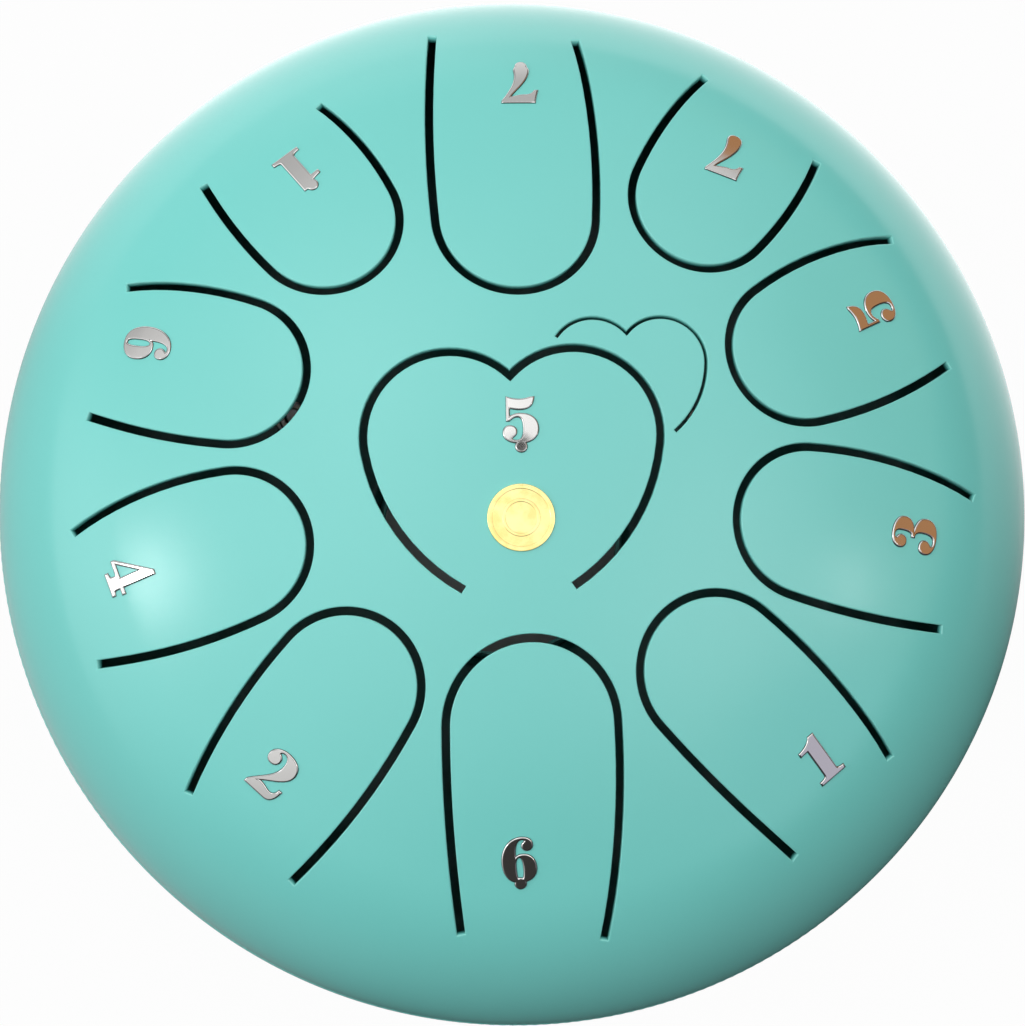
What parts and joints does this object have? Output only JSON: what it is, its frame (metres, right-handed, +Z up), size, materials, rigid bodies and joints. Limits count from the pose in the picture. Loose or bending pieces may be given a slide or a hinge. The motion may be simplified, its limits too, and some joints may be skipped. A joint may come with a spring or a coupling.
{
  "type": "steel tongue drum",
  "caption": "Round steel tongue drum: domed upper shell with slotted tongues and note numerals, a heart-shaped middle tongue, a pan with a sound hole, and rubber feet.",
  "frame": {"origin": "middle of the footprint, on the plane of the feet's soles", "axes": "+Z up through the crown; -Y towards the player, where the numeral of the middle tongue reads upright; +X to the player's right"},
  "size_m": [0.2544, 0.2544, 0.1344],
  "materials": {
    "shell_paint": "turquoise powder coat, satin with a fine orange peel",
    "tongue_paint": "turquoise powder coat, satin with a fine orange peel",
    "weld_paint": "painted weld bead",
    "numeral_nickel": "bright nickel, mirror face and rounded rim",
    "badge_gold": "bright gold plate",
    "foot_rubber": "matt black rubber",
    "screw_zinc": "bright zinc",
    "washer_zinc": "bright zinc",
    "nut_zinc": "bright zinc"
  },
  "bodies": {
    "drum": {"upper_shell": "shell_paint", "lower_shell": "shell_paint", "seam_weld": "weld_paint", "foot_front": "foot_rubber", "foot_rear_left": "foot_rubber", "foot_rear_right": "foot_rubber", "foot_screws": "screw_zinc", "foot_washers": "washer_zinc", "foot_nuts": "nut_zinc"},
    "tongue_low_5": {"tongue_low_5": "tongue_paint", "numeral_low_5": "numeral_nickel", "gold_badge": "badge_gold"},
    "tongue_low_6": {"tongue_low_6": "tongue_paint", "numeral_low_6": "numeral_nickel"},
    "tongue_low_7": {"tongue_low_7": "tongue_paint", "numeral_low_7": "numeral_nickel"},
    "tongue_1": {"tongue_1": "tongue_paint", "numeral_1": "numeral_nickel"},
    "tongue_2": {"tongue_2": "tongue_paint", "numeral_2": "numeral_nickel"},
    "tongue_3": {"tongue_3": "tongue_paint", "numeral_3": "numeral_nickel"},
    "tongue_4": {"tongue_4": "tongue_paint", "numeral_4": "numeral_nickel"},
    "tongue_5": {"tongue_5": "tongue_paint", "numeral_5": "numeral_nickel"},
    "tongue_6": {"tongue_6": "tongue_paint", "numeral_6": "numeral_nickel"},
    "tongue_7": {"tongue_7": "tongue_paint", "numeral_7": "numeral_nickel"},
    "tongue_high_1": {"tongue_high_1": "tongue_paint", "numeral_high_1": "numeral_nickel"}
  },
  "joints": [
    {"name": "tongue_low_5_flex", "type": "hinge", "parent": "drum", "child": "tongue_low_5", "pos_m": [-0.00344, -0.02722, 0.13145], "axis": [-0.9989, -0.0436, -0.0183], "range_deg": [-0.5, 0.5], "stiffness_Nm_per_rad": 150},
    {"name": "tongue_low_6_flex", "type": "hinge", "parent": "drum", "child": "tongue_low_6", "pos_m": [0.00163, -0.10794, 0.10712], "axis": [-0.9989, 0.0297, 0.0363], "range_deg": [-0.5, 0.5], "stiffness_Nm_per_rad": 140},
    {"name": "tongue_low_7_flex", "type": "hinge", "parent": "drum", "child": "tongue_low_7", "pos_m": [-0.00516, 0.1114, 0.10396], "axis": [0.9967, -0.029, 0.0756], "range_deg": [-0.5, 0.5], "stiffness_Nm_per_rad": 150},
    {"name": "tongue_1_flex", "type": "hinge", "parent": "drum", "child": "tongue_1", "pos_m": [0.07618, -0.07666, 0.10705], "axis": [-0.6928, -0.7209, -0.0187], "range_deg": [-0.5, 0.5], "stiffness_Nm_per_rad": 150},
    {"name": "tongue_2_flex", "type": "hinge", "parent": "drum", "child": "tongue_2", "pos_m": [-0.06806, -0.08461, 0.10667], "axis": [-0.7595, 0.65, 0.0255], "range_deg": [-0.5, 0.5], "stiffness_Nm_per_rad": 160},
    {"name": "tongue_3_flex", "type": "hinge", "parent": "drum", "child": "tongue_3", "pos_m": [0.10448, -0.01753, 0.10863], "axis": [-0.2543, -0.9649, 0.0661], "range_deg": [-0.5, 0.5], "stiffness_Nm_per_rad": 170},
    {"name": "tongue_4_flex", "type": "hinge", "parent": "drum", "child": "tongue_4", "pos_m": [-0.10535, -0.02778, 0.10638], "axis": [-0.1979, 0.979, 0.0497], "range_deg": [-0.5, 0.5], "stiffness_Nm_per_rad": 170},
    {"name": "tongue_5_flex", "type": "hinge", "parent": "drum", "child": "tongue_5", "pos_m": [0.09623, 0.04655, 0.10794], "axis": [0.3939, -0.9185, 0.0347], "range_deg": [-0.5, 0.5], "stiffness_Nm_per_rad": 190},
    {"name": "tongue_6_flex", "type": "hinge", "parent": "drum", "child": "tongue_6", "pos_m": [-0.1007, 0.03163, 0.10893], "axis": [0.274, 0.9616, -0.0189], "range_deg": [-0.5, 0.5], "stiffness_Nm_per_rad": 200},
    {"name": "tongue_7_flex", "type": "hinge", "parent": "drum", "child": "tongue_7", "pos_m": [0.05764, 0.09154, 0.10691], "axis": [0.7803, -0.619, 0.0891], "range_deg": [-0.5, 0.5], "stiffness_Nm_per_rad": 220},
    {"name": "tongue_high_1_flex", "type": "hinge", "parent": "drum", "child": "tongue_high_1", "pos_m": [-0.06427, 0.08255, 0.10952], "axis": [0.81, 0.5859, 0.0238], "range_deg": [-0.5, 0.5], "stiffness_Nm_per_rad": 230}
  ]
}
